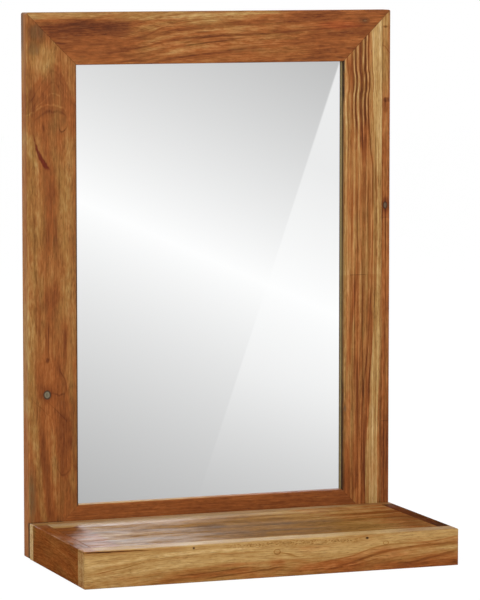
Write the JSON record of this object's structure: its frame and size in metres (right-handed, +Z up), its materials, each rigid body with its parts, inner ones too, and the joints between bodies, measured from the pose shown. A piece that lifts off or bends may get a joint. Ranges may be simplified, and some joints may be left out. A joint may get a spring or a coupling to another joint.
{
  "type": "wall mirror with shelf",
  "caption": "Rectangular wall mirror in a mitred wooden frame, with a deep box-built wooden shelf across its foot and keyhole hanger plates on its back.",
  "frame": {"origin": "middle of the footprint (frame and shelf together), in the plane of the base", "axes": "+X to the right as seen from the front, +Y from the shelf's front towards the wall, +Z up"},
  "size_m": [0.5, 0.252, 0.7],
  "materials": {
    "wood_top_rail": "oiled acacia, satin",
    "wood_bottom_rail": "oiled acacia, dark, satin",
    "wood_left_stile": "oiled acacia with knots, satin",
    "wood_right_stile": "oiled acacia, straight grain, satin",
    "wood_edge_strip": "oiled acacia, satin",
    "wood_shelf_top": "varnished acacia, glossy",
    "wood_shelf_front": "oiled acacia, golden, satin",
    "wood_shelf_back": "oiled acacia, pale, satin",
    "wood_shelf_side": "oiled acacia, reddish, satin",
    "wood_plain": "unfinished beech",
    "mirror": "silvered glass",
    "hardboard": "hardboard, smooth",
    "steel": "zinc plated"
  },
  "bodies": {
    "root": {"frame_top_rail": "wood_top_rail", "frame_bottom_rail": "wood_bottom_rail", "frame_left_stile": "wood_left_stile", "frame_right_stile": "wood_right_stile", "frame_right_edge_strip": "wood_edge_strip", "frame_dowels": "wood_plain", "mirror_glass": "mirror", "mirror_back_panel": "hardboard", "retaining_points": "steel", "shelf_top_panel": "wood_shelf_top", "shelf_front_board": "wood_shelf_front", "shelf_back_board": "wood_shelf_back", "shelf_left_side": "wood_shelf_side", "shelf_right_side": "wood_shelf_side", "shelf_dowels": "wood_plain", "shelf_glue_blocks": "wood_plain", "shelf_screws": "steel", "hanger_plate_left": "steel", "hanger_plate_right": "steel", "hanger_screws": "steel"}
  },
  "joints": []
}
